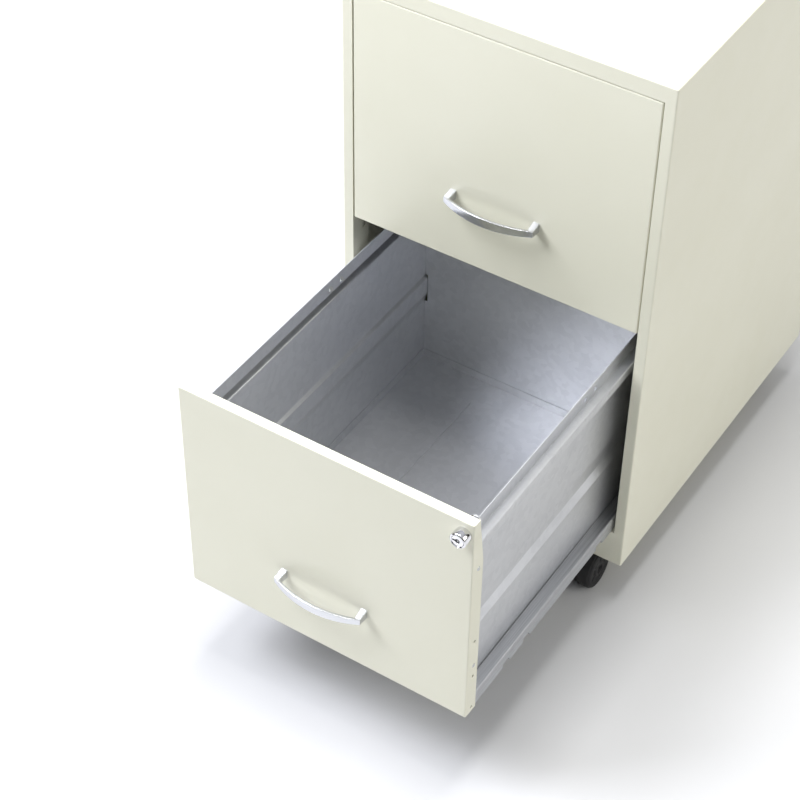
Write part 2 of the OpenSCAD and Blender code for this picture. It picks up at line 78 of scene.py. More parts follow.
# name: place, target, size in metres, watts, colour
LIGHTS = {
    "key": ((-1.35, -1.18, 2.3), (0, -0.2, 0.55), 1.3, 82, (0.97, 0.99, 1.07)),
    "top": ((0.0, -0.15, 2.9), (0, -0.15, 0.3), 1.0, 54, (1, 1, 1)),
    "fill": ((2.6, 0.4, 1.4), (0, -0.2, 0.3), 1.6, 27, (1, 0.98, 0.93)),
}


def add_camera():
    """Looks down on the open drawer from the right of the front."""
    data = bpy.data.cameras.new("camera")
    data.lens = CAMERA_LENS_MM
    data.clip_start = 0.05
    camera = bpy.data.objects.new("camera", data)
    turn = (
        Matrix.Rotation(CAMERA_AZIMUTH, 4, "Z")
        @ Matrix.Rotation(math.pi / 2 - CAMERA_ELEVATION, 4, "X")
        @ Matrix.Rotation(CAMERA_ROLL, 4, "Z")
    )
    back = Matrix.Translation((0, 0, CAMERA_DISTANCE))
    camera.matrix_world = Matrix.Translation(CAMERA_AIM) @ turn @ back
    bpy.context.scene.collection.objects.link(camera)
    bpy.context.scene.camera = camera


def add_area_light(name, place, target, size, watts, colour):
    """A square soft light at a place, aimed at a target."""
    data = bpy.data.lights.new(name, "AREA")
    data.shape = "SQUARE"
    data.size = size
    data.energy = watts
    data.color = colour
    light = bpy.data.objects.new(name, data)
    aim = (Vector(target) - Vector(place)).to_track_quat("-Z", "Y")
    light.matrix_world = Matrix.Translation(place) @ aim.to_matrix().to_4x4()
    bpy.context.scene.collection.objects.link(light)


def add_surroundings():
    """Cool white light from overhead, dim from the horizon; the camera sees a pale backdrop."""
    world = bpy.data.worlds.new("studio")
    world.use_nodes = True
    tree = world.node_tree
    where = add_node(tree, "ShaderNodeTexCoord")
    height = add_node(tree, "ShaderNodeSeparateXYZ", {"Vector": where.outputs["Generated"]})
    glow = add_node(tree, "ShaderNodeMapRange", {
        "Value": height.outputs["Z"], "From Min": 0.25, "From Max": 0.95,
        "To Min": HORIZON_STRENGTH, "To Max": ZENITH_STRENGTH,
    })
    tint = between(tree, height.outputs["Z"], HORIZON_COLOUR, ZENITH_COLOUR, 0.1, 0.7)
    light = tree.nodes["Background"]
    tree.links.new(glow.outputs["Result"], light.inputs["Strength"])
    tree.links.new(tint, light.inputs["Color"])
    backdrop = add_node(tree, "ShaderNodeBackground", {"Color": (*BACKDROP_COLOUR, 1)})
    seen = add_node(tree, "ShaderNodeLightPath").outputs["Is Camera Ray"]
    mix = {0: seen, 1: light.outputs[0], 2: backdrop.outputs[0]}
    both = add_node(tree, "ShaderNodeMixShader", mix)
    tree.links.new(both.outputs[0], tree.nodes["World Output"].inputs["Surface"])
    bpy.context.scene.world = world


def add_studio():
    """A pale floor, soft surroundings and three soft lights."""
    bpy.context.scene.view_settings.view_transform = "Standard"
    add_surroundings()
    bm = bmesh.new()
    bmesh.ops.create_grid(bm, x_segments=1, y_segments=1, size=FLOOR_HALF / MM)
    floor = link_mesh("floor", bm)
    floor.data.materials.append(floor_finish())
    for name, settings in LIGHTS.items():
        add_area_light(name, *settings)


# ---- finishes ---------------------------------------------------------------------------


def add_node(tree, kind, inputs=None, **settings):
    """A node with its settings, its inputs set from numbers or linked from sockets."""
    made = tree.nodes.new(kind)
    for key, value in settings.items():
        setattr(made, key, value)
    for key, value in (inputs or {}).items():
        if isinstance(value, bpy.types.NodeSocket):
            tree.links.new(value, made.inputs[key])
        else:
            made.inputs[key].default_value = value
    return made


def new_finish(name, **constants):
    """A material with its constant shader sockets set, its node tree and its shader."""
    material = bpy.data.materials.new(name)
    material.use_nodes = True
    shader = material.node_tree.nodes["Principled BSDF"]
    for socket, value in constants.items():
        shader.inputs[socket.replace("_", " ")].default_value = value
    return material, material.node_tree, shader


def place_in(tree, stretch=(1, 1, 1)):
    """Positions on the part, in metres, stretched for brushed or rolled grain."""
    where = add_node(tree, "ShaderNodeTexCoord").outputs["Object"]
    return add_node(tree, "ShaderNodeMapping", {"Vector": where, "Scale": stretch}).outputs[0]


def noise(tree, where, scale, detail=2.0, roughness=0.5):
    inputs = {"Vector": where, "Scale": scale, "Detail": detail, "Roughness": roughness}
    return add_node(tree, "ShaderNodeTexNoise", inputs).outputs["Fac"]


def between(tree, factor, low, high, start=0.3, end=0.7):
    """A colour that runs from low to high as the factor runs from start to end."""
    ramp = add_node(tree, "ShaderNodeValToRGB", {"Fac": factor})
    for stop, colour, position in zip(ramp.color_ramp.elements, (low, high), (start, end)):
        stop.color = (*colour, 1)
        stop.position = position
    return ramp.outputs["Color"]


def spread(tree, factor, low, high):
    inputs = {"Value": factor, "From Min": 0.3, "From Max": 0.7, "To Min": low, "To Max": high}
    return add_node(tree, "ShaderNodeMapRange", inputs).outputs["Result"]


def bump(tree, height, strength, depth, under=None):
    inputs = {"Height": height, "Strength": strength, "Distance": depth}
    if under:
        inputs["Normal"] = under
    return add_node(tree, "ShaderNodeBump", inputs).outputs["Normal"]


def wire(tree, shader, **sockets):
    for name, output in sockets.items():
        tree.links.new(output, shader.inputs[name.replace("_", " ")])


def floor_finish():
    material, tree, shader = new_finish("floor", Specular_IOR_Level=0.1)
    grain = noise(tree, place_in(tree), 3)
    colour = between(tree, grain, (0.62, 0.62, 0.62), (0.64, 0.64, 0.64))
    wire(tree, shader, Base_Color=colour, Roughness=spread(tree, grain, 0.85, 0.95))
    return material


def cream_paint():
    """Semi-gloss stoved powder coat: fine orange peel and the slightest clouding."""
    material, tree, shader = new_finish("cream_paint", Coat_Weight=0.25, Coat_Roughness=0.22)
    where = place_in(tree)
    clouds = noise(tree, where, 6)
    peel = noise(tree, where, 520, 1)
    ripple = noise(tree, where, 16, 1)
    relief = bump(tree, peel, 0.10, 0.0003, bump(tree, ripple, 0.05, 0.002))
    colour = between(tree, clouds, (0.735, 0.724, 0.585), (0.76, 0.749, 0.615))
    gloss = spread(tree, noise(tree, where, 40), 0.34, 0.42)
    wire(tree, shader, Base_Color=colour, Roughness=gloss, Normal=relief)
    return material


def galvanised_steel():
    """Bright zinc-coated sheet: faint spangle, cloudy patches and fine grain."""
    material, tree, shader = new_finish("galvanised_steel", Metallic=0.7)
    where = place_in(tree)
    warp = noise(tree, where, 60)
    spangle = add_node(tree, "ShaderNodeTexVoronoi", {"Vector": where, "Scale": 140.0}, feature="F1")
    split = add_node(tree, "ShaderNodeSeparateColor", {"Color": spangle.outputs["Color"]})
    crystals = split.outputs["Red"]
    patches = noise(tree, where, 9, 3)
    shade = add_node(tree, "ShaderNodeMath", {0: crystals, 1: 0.35}, operation="MULTIPLY").outputs[0]
    mixed = add_node(tree, "ShaderNodeMath", {0: shade, 1: patches}, operation="ADD").outputs[0]
    grain = noise(tree, where, 900, 3, 0.7)
    relief = bump(tree, grain, 0.22, 0.00025, bump(tree, warp, 0.05, 0.0006))
    colour = between(tree, mixed, (0.56, 0.57, 0.59), (0.64, 0.65, 0.67), 0.35, 0.95)
    wire(tree, shader, Base_Color=colour, Roughness=spread(tree, mixed, 0.4, 0.31), Normal=relief)
    return material


def runner_steel():
    """Cold-rolled strip: streaks along the slide and a grainy zinc flash."""
    material, tree, shader = new_finish("runner_steel", Metallic=0.95)
    streaks = noise(tree, place_in(tree, (900, 12, 900)), 1, 3)
    grain = noise(tree, place_in(tree), 1100, 2, 0.8)
    relief = bump(tree, grain, 0.35, 0.0002, bump(tree, streaks, 0.12, 0.0002))
    wire(tree, shader, Base_Color=between(tree, streaks, (0.4, 0.41, 0.43), (0.53, 0.54, 0.56)),
         Roughness=spread(tree, grain, 0.3, 0.45), Normal=relief)
    return material


def chrome(name, colour, roughness, grain_scale, grain_strength):
    """Plated metal: fingerprint-fine changes in gloss over a faint casting wave."""
    material, tree, shader = new_finish(name, Metallic=1.0)
    where = place_in(tree)
    smudge = noise(tree, where, 90, 3)
    wave = noise(tree, where, grain_scale, 2)
    darker = tuple(0.94 * channel for channel in colour)
    wire(tree, shader, Base_Color=between(tree, smudge, darker, colour),
         Roughness=spread(tree, smudge, roughness * 0.75, roughness * 1.25),
         Normal=bump(tree, wave, grain_strength, 0.0002))
    return material


def bright_steel():
    """Zinc-plated fasteners and stampings with a faint straw and blue cast."""
    material, tree, shader = new_finish("bright_steel", Metallic=1.0)
    where = place_in(tree)
    cast = noise(tree, where, 150, 2)
    tooling = noise(tree, where, 1600, 2)
    wire(tree, shader, Base_Color=between(tree, cast, (0.66, 0.65, 0.6), (0.6, 0.63, 0.67)),
         Roughness=spread(tree, tooling, 0.2, 0.34), Normal=bump(tree, tooling, 0.15, 0.0001))
    return material


def moulded(name, colour, dust, roughness):
    """Moulded nylon: a spark-eroded grain, with floor dust lightening it in patches."""
    material, tree, shader = new_finish(name)
    where = place_in(tree)
    patches = noise(tree, where, 45, 4, 0.6)
    grain = noise(tree, where, 1500, 2)
    wire(tree, shader, Base_Color=between(tree, patches, colour, dust, 0.45, 0.85),
         Roughness=spread(tree, patches, roughness, roughness + 0.15),
         Normal=bump(tree, grain, 0.3, 0.0002))
    return material


def white_nylon():
    """Milky roller nylon, a little translucent, with turning marks."""
    material, tree, shader = new_finish("white_nylon", Subsurface_Weight=0.12, Subsurface_Scale=0.002)
    where = place_in(tree, (2600, 200, 200))
    marks = noise(tree, where, 1, 2)
    wire(tree, shader, Base_Color=between(tree, marks, (0.8, 0.78, 0.72), (0.86, 0.85, 0.8)),
         Roughness=spread(tree, marks, 0.38, 0.5), Normal=bump(tree, marks, 0.1, 0.0001))
    return material


def black_rubber():
    """Matt moulded rubber with open pores."""
    material, tree, shader = new_finish("black_rubber", Specular_IOR_Level=0.35)
    pores = noise(tree, place_in(tree), 900, 4, 0.7)
    wire(tree, shader, Base_Color=between(tree, pores, (0.02, 0.02, 0.02), (0.05, 0.05, 0.048)),
         Roughness=spread(tree, pores, 0.75, 0.9), Normal=bump(tree, pores, 0.5, 0.0003))
    return material


FINISHES = {
    "cream_paint": cream_paint(),
    "galvanised_steel": galvanised_steel(),
    "runner_steel": runner_steel(),
    "satin_chrome": chrome("satin_chrome", (0.66, 0.67, 0.7), 0.19, 300, 0.05),
    "polished_chrome": chrome("polished_chrome", (0.8, 0.8, 0.82), 0.06, 200, 0.03),
    "bright_steel": bright_steel(),
    "black_plastic": moulded("black_plastic", (0.008, 0.008, 0.009), (0.018, 0.018, 0.018), 0.42),
    "wheel_plastic": moulded("wheel_plastic", (0.009, 0.009, 0.01), (0.026, 0.025, 0.025), 0.5),
    "white_nylon": white_nylon(),
    "black_rubber": black_rubber(),
}

# ---- mesh helpers, in millimetres -------------------------------------------------------

AXES = {"x": (0, 1, 2), "y": (1, 2, 0), "z": (2, 0, 1)}


def box_mm(node):
    """A CAD node's lowest and highest corners, in millimetres."""
    return [Vector(corner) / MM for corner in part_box(node)]


def link_mesh(name, bm, smooth_angle=35):
    """A mesh object from a bmesh in millimetres, smooth except across sharp folds."""
    bmesh.ops.remove_doubles(bm, verts=bm.verts, dist=1e-4)
    bare = [edge for edge in bm.edges if not edge.link_faces]
    bmesh.ops.delete(bm, geom=bare, context="EDGES")
    bmesh.ops.recalc_face_normals(bm, faces=bm.faces)
    bmesh.ops.scale(bm, vec=(MM, MM, MM), verts=bm.verts)
    mesh = bpy.data.meshes.new(name)
    bm.to_mesh(mesh)
    bm.free()
    mesh.shade_smooth()
    mesh.set_sharp_from_angle(angle=math.radians(smooth_angle))
    obj = bpy.data.objects.new(name, mesh)
    bpy.context.scene.collection.objects.link(obj)
    return obj


def make_piece(name, bm, node):
    """Link a mesh that rides with a CAD node's body, in its finish, and stands for it."""
    piece = link_mesh(name, bm)
    piece.data.materials.append(FINISHES[SLOT_OF[node]])
    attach(piece, BODY_OF[node])
    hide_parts(node)
    return piece


def rounded(outline, radius, steps=3):
    """A closed outline of (u, v) points, each corner replaced by a small arc.

    A point may carry its own radius as a third number.
    """
    points = []
    count = len(outline)
    for i, corner in enumerate(outline):
        own = corner[2] if len(corner) > 2 else radius
        here = Vector(corner[:2])
        before = Vector(outline[i - 1][:2]) - here
        after = Vector(outline[(i + 1) % count][:2]) - here
        cut = min(own, before.length * 0.48, after.length * 0.48)
        if cut <= 0:
            points.append(here)
            continue
        start = here + before.normalized() * cut
        end = here + after.normalized() * cut
        for step in range(steps + 1):
            t = step / steps
            points.append(start * (1 - t) ** 2 + here * 2 * t * (1 - t) + end * t * t)
    return points


def around(axis, centre, along, radius, angle):
    """The point at a distance along an axis and a radius and angle round it."""
    a, b, c = AXES[axis]
    point = Vector(centre)
    point[a] += along
    point[b] += radius * math.cos(angle)
    point[c] += radius * math.sin(angle)
    return point


def skin(bm, rings, closed=False):
    """Faces between neighbouring rings of points, with caps on the ends of an open run."""
    loops = [[bm.verts.new(point) for point in ring] for ring in rings]
    following = loops[1:] + loops[:1] if closed else loops[1:]
    for low, high in zip(loops, following):
        for i in range(len(low)):
            j = (i + 1) % len(low)
            bm.faces.new((low[i], low[j], high[j], high[i]))
    if not closed:
        bm.faces.new(loops[0][::-1])
        bm.faces.new(loops[-1])
    return loops


def turned(bm, profile, axis, centre, steps=72, start=0.0, sweep=360.0):
    """A closed profile of (along, radius) points turned about an axis, wholly or in part."""
    whole = sweep == 360.0
    angles = [math.radians(start + sweep * i / steps) for i in range(steps + (0 if whole else 1))]
    rings = [[around(axis, centre, u, v, angle) for u, v in profile] for angle in angles]
    return skin(bm, rings, closed=whole)


def cad_copy(node):
    """A CAD node's mesh in millimetres, its flat faces joined again."""
    bm = bmesh.new()
    bm.from_mesh(NODES[node].data)
    bmesh.ops.scale(bm, vec=(1 / MM, 1 / MM, 1 / MM), verts=bm.verts)
    bmesh.ops.remove_doubles(bm, verts=bm.verts, dist=1e-3)
    bmesh.ops.dissolve_limit(bm, angle_limit=math.radians(0.5), verts=bm.verts, edges=bm.edges)
    return bm


def ease_edges(obj, width_mm, segments=2):
    """Modifiers that rejoin the CAD triangles, round the sharp edges and keep flat faces flat."""
    weld = obj.modifiers.new("weld", "WELD")
    weld.merge_threshold = 1e-6
    flat = obj.modifiers.new("flat", "DECIMATE")
    flat.decimate_type = "DISSOLVE"
    flat.angle_limit = math.radians(0.5)
    ease = obj.modifiers.new("ease", "BEVEL")
    ease.width = width_mm * MM
    ease.segments = segments
    ease.limit_method = "ANGLE"
    ease.angle_limit = math.radians(40)
    ease.use_clamp_overlap = True
    normals = obj.modifiers.new("normals", "WEIGHTED_NORMAL")
    normals.keep_sharp = True


# ---- drawer fronts ----------------------------------------------------------------------

FOLD_RADIUS = 1.3
FRONT_ZONE = 1.7
PAN_EDGE = 0.22


def build_front(level):
    """The painted pan, its top and bottom folds rounded like its upright ones."""
    node = f"{level}_drawer_front"
    low, high = box_mm(node)
    bm = cad_copy(node)
    folds = []
    for edge in bm.edges:
        at_front = all(vert.co.y < low.y + FRONT_ZONE for vert in edge.verts)
        at_end = any(all(abs(vert.co.z - z) < 0.01 for vert in edge.verts) for z in (low.z, high.z))
        if at_front and at_end and len(edge.link_faces) == 2 and edge.calc_face_angle() > 1:
            folds.append(edge)
    bmesh.ops.bevel(bm, geom=folds, offset=FOLD_RADIUS, segments=4, profile=0.5,
                    affect="EDGES", clamp_overlap=True)
    ease_edges(make_piece(f"{level}_front_pan", bm, node), PAN_EDGE)


# ---- handles ----------------------------------------------------------------------------

FOOT_WIDTH = 7.0
FOOT_HEIGHT = 10.5
FOOT_DEPTH = 13.0
STRAP_THICK = 2.8
STRAP_MID_HEIGHT = 10.2
STRAP_END_HEIGHT = 6.8
HANDLE_EDGE = 0.4


def strap_height(share):
    """Height of the strap where share runs from 0 in the middle to 1 at the ends."""
    return STRAP_END_HEIGHT + (STRAP_MID_HEIGHT - STRAP_END_HEIGHT) * (1 - share * share)


def handle_section(inner, outer, height, z):
    """A rounded section of the handle between two points in plan."""
    width = (outer - inner).length
    half = height / 2
    edge = min(HANDLE_EDGE, 0.3 * width)
    outline = rounded([(0, -half), (width, -half), (width, half), (0, half)], edge, 4)
    across = (outer - inner).normalized()
    return [Vector((inner.x + across.x * u, inner.y + across.y * u, z + v)) for u, v in outline]


def build_handle(level):
    """One casting: a bowed strap, deepest in the middle, mitred into two tapering feet."""
    node = f"{level}_handle"
    low, high = box_mm(node)
    z = (low.z + high.z) / 2
    half = high.x
    reach = high.y - low.y
    rise = reach - FOOT_DEPTH
    radius = (half * half + rise * rise) / (2 * rise)
    front = high.y

    def bow(angle, inset):
        r = radius - inset
        return Vector((r * math.sin(angle), front - reach + radius - r * math.cos(angle)))

    end = math.asin(half / radius)
    inner_end = math.asin((half - FOOT_WIDTH + 0.8) / (radius - STRAP_THICK))
    sections = []
    for share in (0.0, 0.5, 0.95):
        inner = Vector((half - FOOT_WIDTH, front)).lerp(bow(inner_end, STRAP_THICK), share)
        outer = Vector((half, front)).lerp(bow(end, 0), share)
        height = FOOT_HEIGHT + (STRAP_END_HEIGHT - FOOT_HEIGHT) * share
        sections.append(handle_section(inner, outer, height, z))
    sections.append(handle_section(bow(inner_end, STRAP_THICK), bow(end, 0), STRAP_END_HEIGHT, z))
    steps = 28
    start = inner_end * 0.965
    for i in range(steps + 1):
        angle = start * (1 - 2 * i / steps)
        height = strap_height(abs(angle) / end)
        sections.append(handle_section(bow(angle, STRAP_THICK), bow(angle, 0), height, z))
    mirrored = [[Vector((-p.x, p.y, p.z)) for p in ring] for ring in sections[:4]]
    bm = bmesh.new()
    skin(bm, sections + mirrored[::-1])
    make_piece(f"{level}_handle_casting", bm, node)


# ---- rollers ----------------------------------------------------------------------------

ROLLER_BORE = 2.55
ROLLER_HUB = 3.9
ROLLER_RIBS = 6


def build_roller(node):
    """Nylon roller: a crowned tread between eased rims, with a hub round its pin."""
    low, high = box_mm(node)
    centre = (low + high) / 2
    half = (high.x - low.x) / 2
    outer = (high.z - low.z) / 2
    inward = 1 if centre.x < 0 else -1
    profile = rounded([
        (-half, ROLLER_BORE, 0.1), (-half, outer - 2.2), (-half + 0.8, outer - 2.0),
        (-half + 0.8, outer - 1.0), (-half + 0.2, outer - 0.7), (-half + 0.9, outer),
        (half - 0.9, outer), (half - 0.2, outer - 0.7), (half - 0.2, outer - 1.2),
        (half - 0.9, outer - 1.8), (half - 0.9, ROLLER_HUB + 0.3), (half, ROLLER_HUB),
        (half, ROLLER_BORE, 0.1),
    ], 0.25, 2)
    bm = bmesh.new()
    turned(bm, [(inward * u, v) for u, v in profile], "x", centre, 64)
    for i in range(ROLLER_RIBS):
        angle = math.tau * i / ROLLER_RIBS
        ribs = []
        for r in (4.0, outer - 1.6):
            ribs.append([around("x", centre, inward * (half - 1.0 + lift), r, angle + side / r)
                         for lift, side in ((0, -0.5), (0.55, -0.35), (0.55, 0.35), (0, 0.5))])
        skin(bm, ribs)
    make_piece(f"{node}_turned", bm, node)


# ---- fasteners --------------------------------------------------------------------------

# the cross recess: its arms' reach and half width as shares of the head's radius, its floor's
# width as a share of its own, and its depth as a share of the head's height
RECESS_ARM = 0.62
RECESS_HALF = 0.17
RECESS_FLOOR = 0.6
RECESS_DEPTH = 0.62
FLANGE_SCREW_DROPS = (66, 206)
FLANGE_SCREW_Y = 11
ROLLER_PIN_TIP = 176.8
BACK_SCREW_INSET = 8
BACK_SCREW_RISES = (40, 320)
BACK_SCREW_DROP = 30


def head_ring(share, sink):
    """One ring of a screw head, as (u, v, depth) with u and v in head radii.

    Every ring has points where the recess's floor and walls run, so their edges stay straight.
    """
    quarter = math.pi / 2
    floor, wall = (min(quarter / 2, math.asin(min(1, half / share)))
                   for half in (RECESS_HALF * RECESS_FLOOR, RECESS_HALF))
    between_arms = [wall + (quarter - 2 * wall) * i / 7 for i in range(8)]
    whole_ring = share < RECESS_HALF
    points = []
    for turn in range(4):
        for angle in [0, floor, *between_arms, quarter - floor]:
            sunk = whole_ring or not floor < angle < quarter - floor
            bearing = turn * quarter + angle
            depth = sink if sunk else 0
            points.append((share * math.cos(bearing), share * math.sin(bearing), depth))
    return points


def pan_head(bm, axis, centre, sign, radius, height, cross=True):
    """A domed head that sits on the plane through centre, with a cross recess cut into it."""
    floor = RECESS_HALF * RECESS_FLOOR
    corners = [floor * 0.7, floor * math.sqrt(2), RECESS_HALF * math.sqrt(2)]
    shares = [*corners, 0.33, 0.42, 0.5, 0.56, RECESS_ARM, 0.74, 0.87, 0.96]
    dome = [(share, height * (1 - share ** 3.2)) for share in shares]
    a, b, c = AXES[axis]
    rings = []
    for share, top in [*dome, (1.0, height * 0.1), (0.98, 0.0)]:
        cut = cross and share < RECESS_ARM
        sink = height * RECESS_DEPTH * (1 - 0.4 * share / RECESS_ARM) if cut else 0
        ring = []
        for u, v, depth in head_ring(share, sink):
            point = Vector(centre)
            point[a] += sign * (top - depth)
            point[b] += radius * u
            point[c] += radius * v
            ring.append(point)
        rings.append(ring)
    skin(bm, rings)


def rod(bm, axis, centre, start, end, radius, edge=0.2, steps=40):
    """A pin with eased ends."""
    profile = rounded([(start, 0, 0), (start, radius), (end, radius), (end, 0, 0)], edge, 2)
    turned(bm, profile, axis, centre, steps)


def build_drawer_screws(level):
    """Handle screws behind the front, screws in the side flanges and the rear rollers' pins."""
    node = f"{level}_drawer_screws"
    front_low, front_high = box_mm(f"{level}_drawer_front")
    handle_low, handle_high = box_mm(f"{level}_handle")
    handle_z = (handle_low.z + handle_high.z) / 2
    bm = bmesh.new()
    for side in SIDES:
        x = side * (handle_high.x - FOOT_WIDTH / 2)
        behind = Vector((x, front_low.y + 1, handle_z))
        pan_head(bm, "y", behind, 1, 3.8, 2.2)
        rod(bm, "y", behind, -9, 0.5, 2)
        for drop in FLANGE_SCREW_DROPS:
            seat = Vector((side * front_high.x, front_low.y + FLANGE_SCREW_Y, front_high.z - drop))
            pan_head(bm, "x", seat, side, 2.6, 0.9)
            rod(bm, "x", seat, -4 if side > 0 else 0, 0 if side > 0 else 4, 1.5)
        low, high = box_mm(f"{level}_{'right' if side > 0 else 'left'}_rear_roller")
        middle = (low + high) / 2
        tip = Vector((side * ROLLER_PIN_TIP, middle.y, middle.z))
        pan_head(bm, "x", tip, side, 3.6, 1.0, cross=False)
        rod(bm, "x", tip, -12 if side > 0 else 0, 0 if side > 0 else 12, 2.5)
    make_piece(f"{level}_drawer_fasteners", bm, node)


def build_case_screws():
    """Six domed screws that hold the back panel."""
    case_low, case_high = box_mm("case_wrap")
    heads = [*(case_low.z + rise for rise in BACK_SCREW_RISES), case_high.z - BACK_SCREW_DROP]
    bm = bmesh.new()
    for side in SIDES:
        for z in heads:
            seat = Vector((side * (case_high.x - BACK_SCREW_INSET), case_high.y, z))
            pan_head(bm, "y", seat, 1, 3.6, 1.8)
            rod(bm, "y", seat, -8, 0.5, 1.7)
    make_piece("case_back_screws", bm, "case_screws")


# ---- lock -------------------------------------------------------------------------------

BARREL_BORE = 6.5
SLEEVE_RADIUS = 7.45
THREAD_PITCH = 1.0
THREAD_DEPTH = 0.45
NUT_BORE = 7.52
NUT_NOTCHES = 12
KEY_HOLE_RADIUS = 2.4
KEY_SLOT_END = 5.4
KEY_SLOT_HALF = 0.9
KEY_HOLE_DEPTH = 7.0
KEY_POST_RADIUS = 0.75
TAIL_HALF = 3


def build_barrel():
    """Polished collar with a bevelled rim and a dished face; a threaded sleeve behind it."""
    low, high = box_mm("lock_barrel")
    centre = Vector(((low.x + high.x) / 2, low.y, (low.z + high.z) / 2))
    collar = (high.x - low.x) / 2
    front_low, _ = box_mm("lower_drawer_front")
    reach = front_low.y - low.y
    length = high.y - low.y
    thread = []
    first = reach + 4.2
    turns = int((length - 0.8 - first) / THREAD_PITCH)
    for i in range(turns):
        thread.append(Vector((first + i * THREAD_PITCH, SLEEVE_RADIUS)))
        thread.append(Vector((first + (i + 0.5) * THREAD_PITCH, SLEEVE_RADIUS - THREAD_DEPTH)))
    profile = rounded([
        (0.9, BARREL_BORE, 0.15), (0.35, BARREL_BORE + 0.5, 0.15), (0.0, BARREL_BORE + 0.75, 0.1),
        (0.0, collar - 1.1, 0.3), (1.0, collar, 0.5), (reach - 1.0, collar, 0.3),
        (reach - 0.6, collar - 0.3, 0.1), (reach, collar - 0.3, 0.1), (reach, SLEEVE_RADIUS, 0.1),
    ], 0.2, 3)
    profile += thread
    profile += rounded([(length - 0.6, SLEEVE_RADIUS), (length, SLEEVE_RADIUS - 0.5),
                        (length, BARREL_BORE)], 0.1, 1)[2:]
    bm = bmesh.new()
    turned(bm, profile, "y", centre, 96)
    make_piece("lock_barrel_turned", bm, "lock_barrel")


def build_ring_nut():
    """Round nut behind the front with chamfered faces and spanner notches."""
    low, high = box_mm("lock_ring_nut")
    centre = (low + high) / 2
    half, outer = (high.y - low.y) / 2, (high.x - low.x) / 2
    bm = bmesh.new()
    rings = []
    per_notch = 6
    for i in range(NUT_NOTCHES * per_notch):
        angle = math.tau * i / (NUT_NOTCHES * per_notch)
        rim = outer - (0.55 if i % per_notch in (0, 1) else 0.0)
        section = rounded([(-half, NUT_BORE), (half, NUT_BORE), (half, rim), (-half, rim)], 0.35, 2)
        rings.append([around("y", centre, u, v, angle) for u, v in section])
    skin(bm, rings, closed=True)
    make_piece("lock_ring_nut_turned", bm, "lock_ring_nut")


def keyhole(radius, slot_end, slot_half, count=32):
    """Outline of a round hole with a slot to its left, as (x, z) points."""
    gap = math.asin(slot_half / radius)
    arc = [math.pi - gap - (math.tau - 2 * gap) * i / count for i in range(count + 1)]
    points = [(radius * math.cos(a), radius * math.sin(a)) for a in arc]
    return points + [(-slot_end, -slot_half), (-slot_end, slot_half)]


def build_plug():
    """Plug with a keyhole in its face, a key post and a square tail; a black insert in the keyhole
    paints the shade inside it.
    """
    low, high = box_mm("lock_plug")
    barrel_low, barrel_high = box_mm("lock_barrel")
    cam_low, cam_high = box_mm("lock_cam")
    x, z = (barrel_low.x + barrel_high.x) / 2, (barrel_low.z + barrel_high.z) / 2
    face, outer = low.y, (high.x - low.x) / 2
    hole = keyhole(KEY_HOLE_RADIUS, KEY_SLOT_END, KEY_SLOT_HALF)
    rim = [(outer * math.cos(a), outer * math.sin(a)) for a in (math.atan2(v, u) for u, v in hole)]

    def ring(points, y):
        return [Vector((x + u, y, z + v)) for u, v in points]

    def outwards(share):
        """The outline at a share of the way from the keyhole to the rim."""
        return [(a + (c - a) * share, b + (d - b) * share) for (a, b), (c, d) in zip(hole, rim)]

    bm = bmesh.new()
    rings = [ring(outwards(share), face + depth) for share, depth in (
        (0, KEY_HOLE_DEPTH), (0, 0.3), (0.05, 0.05), (0.12, 0), (0.85, 0), (0.96, 0.12), (1, 0.45))]
    rings.append(ring(rim, cam_low.y - 0.4))
    skin(bm, rings)
    post = rounded([(0.0, 0.0, 0), (0.0, KEY_POST_RADIUS, 0.2), (KEY_HOLE_DEPTH, KEY_POST_RADIUS),
                    (KEY_HOLE_DEPTH, 0.0, 0)], 0.1, 2)
    turned(bm, post, "y", Vector((x, face + 0.5, z)), 24)
    tail = rounded([(-TAIL_HALF, -TAIL_HALF), (TAIL_HALF, -TAIL_HALF),
                    (TAIL_HALF, TAIL_HALF), (-TAIL_HALF, TAIL_HALF)], 0.3, 2)
    skin(bm, [ring(tail, y) for y in (cam_low.y - 0.5, cam_high.y + 0.6)])
    rod(bm, "y", Vector((x, cam_high.y, z)), 0, high.y - cam_high.y, 2.6)
    make_piece("lock_plug_turned", bm, "lock_plug")
    # painted shade: a black plastic insert, 1.1 to 2.2 mm deep in the keyhole, stands in for the shade
    # inside it
    keyway_shade_bm = bmesh.new()
    skin(keyway_shade_bm, [ring(outwards(0.02), face + depth) for depth in (1.1, 2.2)])
    keyway_shade_piece = link_mesh("lock_keyway_painted_shade", keyway_shade_bm)
    keyway_shade_piece.data.materials.append(FINISHES["black_plastic"])
    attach(keyway_shade_piece, BODY_OF["lock_plug"])


# ---- casters ----------------------------------------------------------------------------

WHEEL_BORE = 4.1
WHEEL_INSIDE = 6.2
WHEEL_RIBS = 5
HOOD_THICK = 2.0
HOOD_GAP = 1.2
HOOD_START = 9.0
HOOD_SWEEP = 57.5
STEM_BORE = 4.05
WEB_HALF = 5.6
TRAIL = 21.0


def caster_names():
    return [f"{end}_{side}_caster" for end in ("front", "rear") for side in ("left", "right")]


